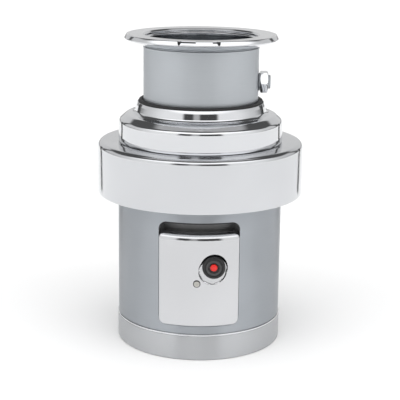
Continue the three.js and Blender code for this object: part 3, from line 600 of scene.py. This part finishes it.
def build_base_pan():
    """Lower cover with vents, cups for its screws and the bushing, and a polished bead on top."""
    radius, low, top = extent("base_pan")
    outline = filleted([
        (0.01, low, 0), (radius, low, 1.6), (radius, top - PAN_BEAD, 0.3),
        (radius - SHEET, top - PAN_BEAD, 0.05),
        (radius - 2, low + 2, 1.0), (0.01, low + 2, 0),
    ], 5)
    pan = revolved("base_pan_fine", outline)
    places = [middle(f"base_screw_{k}") for k in (1, 2, 3)]
    bushing = middle("conduit_bushing")
    recesses = [(p.x, p.y, *SCREW_RECESS) for p in places]
    recesses.append((bushing.x, bushing.y, *BUSHING_RECESS))
    cups = []
    for x, y, inner, outer, bore in recesses:
        cup = revolved("cup", filleted([
            (bore, 4, 0.3), (inner, 4, 0.8), (inner + 0.2, -0.5, 0),
            (outer, -0.5, 0), (outer, 6, 1.5), (bore, 6, 0.3),
        ], 4), 64)
        cup.transform(Matrix.Translation((x * MM, y * MM, 0)))
        cups.append(cup)
    cuts = []
    for x, y, inner, _, _ in recesses:
        shape = [(x + a, y + b) for a, b in ring_of(64, inner + 0.1)]
        cuts.append(prism("recess", shape, -1, low + 3))
    slot = rounded_rectangle(VENTS["half_width"], VENTS["start"], VENTS["end"], VENTS["corner"], 6)
    for k in range(VENTS["count"]):
        vent = prism("vent", slot, -1, low + 3)
        vent.transform(Matrix.Rotation(math.radians(360 / VENTS["count"] * (k + 0.5)), 4, "Z"))
        cuts.append(vent)
    pan = combined(pan, cuts)
    trimmed = combined(joined("cups", *cups), [prism("floor", ring_of(96, radius), -5, 0)])
    piece("base_pan_fine", joined("base_pan_fine", pan, trimmed), "housing", ["base_pan"],
          MATERIALS["pan_steel"])
    bead = revolved("base_pan_bead", filleted([
        (radius - 2, top - PAN_BEAD, 0.3), (radius, top - PAN_BEAD, 1.0), (radius, top, 2.6),
        (radius - 3, top, 0.5), (radius - 3, top - 1.2, 0.3), (radius - 2, top - 1.2, 0.3),
    ], 7))
    piece("base_pan_bead", bead, "housing", ["base_pan"], MATERIALS["polished_steel"])


# ------------------------------------------------------------------ control cover and reset
def spread(low, high, first, last, step):
    """Places from low to high: given distances from both ends, even steps between."""
    start = [low + d for d in first]
    end = [high - d for d in reversed(last)]
    count = max(2, round((end[0] - start[-1]) / step))
    inner = [start[-1] + (end[0] - start[-1]) * k / count for k in range(1, count)]
    return start + inner + end


def cover_inset(x, z, half, low, high, roll, pocket, bezel):
    """How far the cover's face lies inside its main radius at (x, z)."""
    edge, corner = COVER["edge"], COVER["corner"]
    a = max(abs(x) - (half - corner), 0)
    b = max(low + corner - z, z - (high - corner), 0)
    inside = corner - math.hypot(a, b) if a or b else min(half - abs(x), z - low, high - z)
    inside = min(max(inside, 0), edge)
    inset = edge - math.sqrt(edge * edge - (edge - inside) ** 2)
    if z > high - roll:
        up = min(z - (high - roll), roll)
        inset += roll - math.sqrt(roll * roll - up * up)
    lower = pocket["radius"] - math.hypot(x - pocket["x"], z - pocket["z"])
    upper = bezel[2] + pocket["rim"] - math.hypot(x - bezel[0], z - bezel[1])
    depth = pocket["step"] + pocket["slope"] * (z - (pocket["z"] - pocket["radius"]))
    rise = min(max((z - pocket["z"]) / pocket["fade_height"], 0), 1)
    wall = pocket["wall"] + pocket["fade"] * rise
    share = min(max(max(lower, upper) / wall, 0), 1)
    return inset + max(depth, 0) * share * share * (3 - 2 * share)


def rounded_place(x, z, half, low, high):
    """Moves a grid point near a square corner of the cover onto a rounded one."""
    corner = COVER["corner"]
    a = (abs(x) - (half - corner)) / corner
    b = max(low + corner - z, z - (high - corner)) / corner
    if a <= 0 or b <= 0:
        return x, z
    lift = corner * b * math.sqrt(1 - a * a / 2)
    new_x = math.copysign(half - corner + corner * a * math.sqrt(1 - b * b / 2), x)
    new_z = low + corner - lift if z < (low + high) / 2 else high - corner + lift
    return new_x, new_z


def build_control_cover():
    """Curved plate with a rolled top and a pressed pocket round the reset button."""
    low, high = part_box("control_cover")
    half, bottom, top = high.x / MM, low.z / MM, high.z / MM
    radius, roll = -low.y / MM, COVER["roll"]
    bezel_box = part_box("reset_bezel")
    bezel = middle("reset_bezel")
    bezel_at = (bezel.x, bezel.z, (bezel_box[1].x - bezel_box[0].x) / (2 * MM))
    side = [0, 0.05, 0.2, 0.5, 0.9, 1.5, 2.2, 3.0]  # rows packed close at the turned edges
    over = [roll - roll * math.sin(math.radians(a)) for a in range(88, 0, -4)]
    columns = spread(-half, half, side, side, COVER["step"])
    rows = spread(bottom, top, side, [0, *over], COVER["step"])
    vertices = []
    for z in rows:
        for x in columns:
            px, pz = rounded_place(x, z, half, bottom, top)
            face = radius - cover_inset(px, pz, half, bottom, top, roll, POCKET, bezel_at)
            vertices.append((px, -math.sqrt(face * face - px * px), pz))
    wide = len(columns)
    faces = [
        (j * wide + i, j * wide + i + 1, (j + 1) * wide + i + 1, (j + 1) * wide + i)
        for j in range(len(rows) - 1) for i in range(wide - 1)
    ]
    mesh = bpy.data.meshes.new("control_cover_fine")
    mesh.from_pydata([Vector(v) * MM for v in vertices], [], faces)
    cover = piece("control_cover_fine", mesh, "housing", ["control_cover"],
                  MATERIALS["cover_steel"])
    sheet = cover.modifiers.new("sheet", "SOLIDIFY")
    sheet.thickness = COVER["sheet"] * MM
    sheet.offset = -1


def build_reset():
    """Black ring, its inner collar and the red button."""
    low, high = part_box("reset_bezel")
    centre = (low + high) / (2 * MM)
    front, back, radius = -low.y / MM, -high.y / MM, (high.x - low.x) / (2 * MM)
    place = Matrix.Translation((centre.x * MM, 0, centre.z * MM))
    ring = revolved("reset_bezel_ring", filleted([
        (12.5, front - 8.2, 0.3), (radius, front - 8.2, 0.6), (radius, front - 2.6, 2.4),
        (radius - 2.5, front, 2.2), (12.9, front, 0.8), (12.5, front - 1.2, 0.4),
    ], 6), SMOOTH, turn=FRONT)
    collar = revolved("reset_bezel_collar", filleted([
        (6.0, back, 0.4), (12, back, 0.5), (12.3, front - 8.2, 0), (12.3, front - 0.9, 0.5),
        (8.6, front - 0.5, 0.5), (7.6, front - 4.4, 0.5), (6.0, front - 4.4, 0.3),
    ], 5), SMOOTH, turn=FRONT)
    for mesh, finish in ((ring, "black_plastic"), (collar, "collar_plastic")):
        mesh.transform(place)
        piece(mesh.name, mesh, "housing", ["reset_bezel"], MATERIALS[finish])
    low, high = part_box("reset_button")
    front, back, radius = -low.y / MM, -high.y / MM, (high.x - low.x) / (2 * MM)
    dome = [(radius * math.sin(math.radians(a)) * 0.86, front - 1.0 + math.cos(math.radians(a)))
            for a in range(90, 0, -9)]
    foot = [(0.01, back), (radius, back), (radius, front - 1.6), (radius - 0.3, front - 1.15)]
    outline = [*foot, *dome, (0.01, front)]
    button = revolved("reset_button_fine", outline, 64, turn=FRONT)
    button.transform(place)
    piece("reset_button_fine", button, "reset", ["reset_button"],
          MATERIALS["red_plastic"])


def build_cover_screw():
    """Cross-recess screw, with a black ring under its rim as painted shadow of the gap round the head."""
    low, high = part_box("cover_screw")
    centre = (low + high) / (2 * MM)
    front, back, head = -low.y / MM, -high.y / MM, (high.x - low.x) / (2 * MM)
    rim = head - 1.1
    outline = filleted([
        (0.01, back, 0), (2.2, back, 0.4), (2.2, front - 3, 0), (rim, front - 3, 0.3),
        (rim, front - 1.2, 0.8), (rim - 1.4, front - 0.2, 2.0), (0.01, front, 0),
    ], 5)
    body = revolved("cover_screw_fine", outline, 64)
    cross = [prism("bar", [(-2.3, -0.5), (2.3, -0.5), (2.3, 0.5), (-2.3, 0.5)], front - 1.7, front + 2)]
    cross.append(cross[0].copy())
    cross[1].transform(Matrix.Rotation(math.radians(90), 4, "Z"))
    screw = combined(body, cross)
    screw.transform(Matrix.Translation((centre.x * MM, 0, centre.z * MM)) @ FRONT)
    piece("cover_screw_fine", screw, "housing", ["cover_screw"], MATERIALS["zinc_plate"])
    # Black ring under the head: painted shadow of the gap between the head and the cover.
    shadow_ring = revolved("cover_screw_painted_shadow", filleted([
        (rim + 0.1, front - 3, 0.2), (head, front - 3, 0.3),
        (head, front - 1.8, 0.7), (rim + 0.1, front - 1.6, 0.4),
    ], 4), 64, turn=FRONT)
    shadow_ring.transform(Matrix.Translation((centre.x * MM, 0, centre.z * MM)))
    piece("cover_screw_painted_shadow", shadow_ring, "housing", ["cover_screw"], MATERIALS["black_rubber"])


def build_terminal_box():
    """Stepped tray behind the cover, in a dark grey that is partly painted shade of the deep recess, with
    the post that the cover screw holds to.
    """
    low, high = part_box("terminal_box")
    bottom, top = low.z / MM, high.z / MM
    rim, back, inner, step = TRAY["rim"], TRAY["back"], TRAY["inner"], TRAY["step"]
    section = [
        (rim, top), (back, top), (back, step), (inner, step), (inner, bottom), (rim, bottom),
        (rim, bottom + SHEET), (inner + SHEET, bottom + SHEET), (inner + SHEET, step - SHEET),
        (back + SHEET, step - SHEET), (back + SHEET, top - SHEET), (rim, top - SHEET),
    ]
    tray = revolved("tray", section, 72, (-TRAY["half_angle"], TRAY["half_angle"]))
    end = [
        (rim, top), (back + 0.2, top), (back + 0.2, step), (inner + 0.2, step), (inner + 0.2, bottom),
        (rim, bottom),
    ]
    walls = []
    for side in (-1, 1):
        span = (side * (TRAY["half_angle"] - 1), side * (TRAY["half_angle"] + 0.05))
        walls.append(revolved("wall", end, 3, span))
    screw = middle("cover_screw")
    post = prism("post", ring_of(32, 5), 89, 127.6, FRONT)
    post.transform(Matrix.Translation((screw.x * MM, 0, screw.z * MM)))
    piece("terminal_box_fine", joined("terminal_box_fine", tray, *walls, post), "housing",
          ["terminal_box"], MATERIALS["tray_paint"])


# ------------------------------------------------------------------ chamber, shredder and drain
def build_grind_chamber():
    """Cast bowl round the shredder."""
    radius, low, top = extent("grind_chamber")
    outline = filleted([
        (100, low, 0.5), (radius, low, 0.8), (radius, low + 6, 1.2), (103, low + 6, 3), (103, 330, 8),
        (98, 350, 6), (98, top, 0.6), (SEAT, top, 1.0), (SEAT, 357, 3), (100, 328, 14),
    ], 6)
    piece("grind_chamber_fine", revolved("grind_chamber_fine", outline), "housing", ["grind_chamber"],
          MATERIALS["cast_aluminium"])


def build_shredder_plate():
    """Turning plate with notches, two lugs and two vanes."""
    radius, low, high = extent("shredder_plate")
    base = low + 7
    top = base + 8
    outline = filleted([
        (7.3, base, 0.2), (radius, base, 0.8), (radius, top, 1.2), (radius - 6, top, 0),
        (radius - 9, top - 1.2, 3), (30, top - 1.2, 3), (27, top, 0), (7.3, top, 0.2),
    ], 4)
    disc = revolved("disc", outline)
    notches = []
    for k in range(8):
        notch = prism("notch", rounded_rectangle(2, radius - 4.5, radius + 5, 1.8, 5), base - 1, top + 1)
        notch.transform(Matrix.Rotation(math.radians(22.5 + 45 * k - 90), 4, "Z"))
        notches.append(notch)
    parts = [combined(disc, notches)]
    shape = filleted([
        (61.8, base + 2, 0), (82, base + 2, 0), (82, high, 4.5), (74, high, 5), (61.8, top + 5, 8),
    ], 6)
    for side in (0, 180):
        lug = prism("lug", shape, -9, 9, FRONT)
        lug.transform(Matrix.Rotation(math.radians(side), 4, "Z"))
        parts.append(lug)
        vane = prism("vane", [(34, low), (86, low), (86, base + 1), (34, base + 1)], -2.5, 2.5, FRONT)
        vane.transform(Matrix.Rotation(math.radians(side + 45), 4, "Z"))
        parts.append(vane)
    piece("shredder_plate_fine", joined("shredder_plate_fine", *parts), "rotor", ["shredder_plate"],
          MATERIALS["cast_iron"], 0.5)


def build_drain_spout():
    """Outlet tube with its bolted flange."""
    low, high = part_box("drain_spout")
    centre = (low + high) / (2 * MM)
    start, end = low.y / MM, high.y / MM
    bore, wide, groove = SPOUT["bore"], SPOUT["outer"], SPOUT["groove"]
    outline = filleted([
        (bore, start, 0), (wide, start, 0), (wide, end - 12, 1.0), (groove, end - 10, 1.0),
        (groove, end - 5, 0.8), (wide, end - 3, 0.8), (wide, end, 0.9), (bore, end, 0.9),
    ], 5)
    lift = Matrix.Translation((0, 0, centre.z * MM))
    tube = revolved("tube", outline, SMOOTH, turn=REAR)
    shape = filleted([
        (-12, -45, 9), (12, -45, 9), (33, -6, 18), (33, 6, 18),
        (12, 45, 9), (-12, 45, 9), (-33, 6, 18), (-33, -6, 18),
    ], 8)
    plate = start + SPOUT["plate"]
    flange = prism("flange", shape, start, plate, REAR)
    holes = [prism("bore", ring_of(64, 26), start - 1, plate + 1, REAR)]
    for side in (-1, 1):
        hole = prism("hole", ring_of(24, SPOUT["bolt_hole"]), start - 1, plate + 1, REAR)
        hole.transform(Matrix.Translation((0, 0, side * SPOUT["bolt"] * MM)))
        holes.append(hole)
    spout = joined("drain_spout_fine", tube, combined(flange, holes))
    spout.transform(lift)
    piece("drain_spout_fine", spout, "housing", ["drain_spout"],
          MATERIALS["cast_aluminium"], 0.4)


# ------------------------------------------------------------------ studio
def build_floor():
    """A pale round floor that runs far past the view."""
    work = bmesh.new()
    bmesh.ops.create_circle(work, cap_ends=True, segments=96, radius=14)
    mesh = bpy.data.meshes.new("floor")
    work.to_mesh(mesh)
    work.free()
    shader = Shader("floor_paper", (0.97, 0.97, 0.97), 0.9)
    grain = shader.noise(220, detail=2.0)
    shader.tint(shader.ranged(grain, 0, 1), 0.995, 1.0)
    mesh.materials.append(shader.material)
    floor = bpy.data.objects.new("floor", mesh)
    floor.location.z = -0.0005
    bpy.context.scene.collection.objects.link(floor)


def build_overhead():
    """Even top light for the floor and the matt pieces; it leaves no glare on the metal."""
    data = bpy.data.lights.new("overhead", "SUN")
    data.energy = OVERHEAD["strength"]
    data.angle = math.radians(OVERHEAD["softness"])
    light = bpy.data.objects.new("overhead", data)
    light.rotation_euler = (math.radians(OVERHEAD["tilt"]), 0, 0)
    light.visible_glossy = False
    bpy.context.scene.collection.objects.link(light)


def build_flags():
    """Two narrow dark panels behind the part, seen only as edge lines in the bright metal."""
    for side in (-1, 1):
        work = bmesh.new()
        bmesh.ops.create_grid(work, x_segments=2, y_segments=8, size=0.5)
        mesh = bpy.data.meshes.new("flag")
        work.to_mesh(mesh)
        work.free()
        mesh.transform(Matrix.Diagonal((FLAG["width"], FLAG["height"], 1, 1)))
        shader = Shader("flag_cloth", (0.01, 0.01, 0.01), 0.9)
        shader.tint(shader.ranged(shader.noise(400), 0, 1), 0.8, 1.2)
        mesh.materials.append(shader.material)
        flag = bpy.data.objects.new(f"flag_{'left' if side < 0 else 'right'}", mesh)
        angle = math.radians(side * FLAG["azimuth"])
        spot = Vector((math.sin(angle), -math.cos(angle), 0)) * FLAG["distance"]
        flag.location = (spot.x, spot.y, FLAG["height"] / 2)
        flag.rotation_euler = (math.radians(90), 0, angle)
        flag.visible_camera = False
        flag.visible_diffuse = False
        flag.visible_shadow = False
        bpy.context.scene.collection.objects.link(flag)


class Sky:
    """Brightness of the studio around the part as a function of azimuth and elevation."""

    def __init__(self, nodes, links):
        self.nodes = nodes
        self.links = links

    def math(self, operation, *inputs):
        made = self.nodes.new("ShaderNodeMath")
        made.operation = operation
        for socket, value in zip(made.inputs, inputs):
            if isinstance(value, (int, float)):
                socket.default_value = value
            else:
                self.links.new(value, socket)
        return made.outputs[0]

    def ramp(self, value, start, end, low, high):
        """Smooth step from low to high while the value goes from start to end (degrees)."""
        made = self.nodes.new("ShaderNodeMapRange")
        made.interpolation_type = "SMOOTHSTEP"
        made.inputs["From Min"].default_value = math.radians(start)
        made.inputs["From Max"].default_value = math.radians(end)
        made.inputs["To Min"].default_value = low
        made.inputs["To Max"].default_value = high
        self.links.new(value, made.inputs["Value"])
        return made.outputs["Result"]

    def mix(self, share, first, second):
        """First where the share is 0, second where it is 1."""
        rest = self.math("SUBTRACT", 1.0, share)
        return self.math("ADD", self.math("MULTIPLY", rest, first), self.math("MULTIPLY", share, second))


def build_world():
    """Bright panels left and right, a soft box above the front, darker gaps and a dimmer rear."""
    world = bpy.data.worlds.new("studio")
    bpy.context.scene.world = world
    world.use_nodes = True
    nodes, links = world.node_tree.nodes, world.node_tree.links
    nodes.clear()
    sky = Sky(nodes, links)
    split = nodes.new("ShaderNodeSeparateXYZ")
    links.new(nodes.new("ShaderNodeTexCoord").outputs["Generated"], split.inputs[0])
    azimuth = sky.math("ARCTAN2", split.outputs["X"], sky.math("MULTIPLY", split.outputs["Y"], -1.0))
    turn = sky.math("ABSOLUTE", azimuth)
    height = sky.math("ARCSINE", split.outputs["Z"])

    rear = sky.mix(sky.ramp(height, 1, 6, 0, 1), WORLD["rear"], WORLD["rear_high"])
    walls = sky.mix(sky.ramp(turn, 62, 112, 0, 1), WORLD["panel"], rear)
    flag = sky.math("MULTIPLY", sky.ramp(turn, 129, 133, 0, 1), sky.ramp(turn, 137, 142, 1, 0))
    walls = sky.mix(flag, walls, WORLD["flag"])
    centre = sky.math("MULTIPLY", sky.ramp(turn, 27, 34, 1, 0), sky.ramp(height, 27, 36, 1, 0))
    streak = sky.math("MULTIPLY", sky.ramp(azimuth, -15, -10, 0, 1), sky.ramp(azimuth, -4, 1, 1, 0))
    walls = sky.mix(centre, walls, sky.mix(streak, WORLD["gap"], WORLD["streak"]))
    front = sky.math("MULTIPLY", sky.ramp(turn, 84, 110, 1, 0), sky.ramp(height, 27, 36, 0, 1))
    walls = sky.mix(front, walls, WORLD["softbox"])
    edge = sky.ramp(turn, 38, 118, math.radians(WORLD["edge_front"]), math.radians(WORLD["edge_rear"]))
    above = sky.math("SUBTRACT", height, edge)
    cap = sky.math("MULTIPLY", sky.ramp(above, -2, 3, 0, 1), sky.ramp(above, 24, 36, 1, 0))
    light = sky.mix(cap, walls, WORLD["cap"])
    light = sky.mix(sky.ramp(above, 24, 36, 0, 1), light, WORLD["roof"])
    seen = nodes.new("ShaderNodeLightPath").outputs["Is Camera Ray"]
    background = nodes.new("ShaderNodeBackground")
    background.inputs["Color"].default_value = (1, 1, 1, 1)
    links.new(sky.mix(seen, light, 1.0), background.inputs["Strength"])
    output = nodes.new("ShaderNodeOutputWorld")
    links.new(background.outputs[0], output.inputs["Surface"])


def build_camera():
    """Camera in front of the part and above it."""
    data = bpy.data.cameras.new("camera")
    data.lens = CAMERA["lens"]
    data.sensor_width = CAMERA["sensor"]
    data.clip_end = 100
    data.shift_y = CAMERA["shift"]
    camera = bpy.data.objects.new("camera", data)
    camera.location = (0, -CAMERA["distance"] * MM, CAMERA["height"] * MM)
    level = Matrix.Rotation(math.radians(90 - CAMERA["down"]), 3, "X")
    camera.rotation_euler = (level @ Matrix.Rotation(math.radians(CAMERA["roll"]), 3, "Z")).to_euler()
    bpy.context.scene.collection.objects.link(camera)
    bpy.context.scene.camera = camera


paint_cad_nodes()
build_sink_flange()
build_inlet_neck()
build_water_inlet()
build_isolator()
build_upper_trim()
build_centre_band()
build_body_shell()
build_window_shadow_strip()
build_base_pan()
build_control_cover()
build_reset()
build_cover_screw()
build_terminal_box()
build_grind_chamber()
build_shredder_plate()
build_drain_spout()
build_floor()
build_world()
build_flags()
build_camera()
build_overhead()
bpy.context.scene.view_settings.view_transform = "Standard"
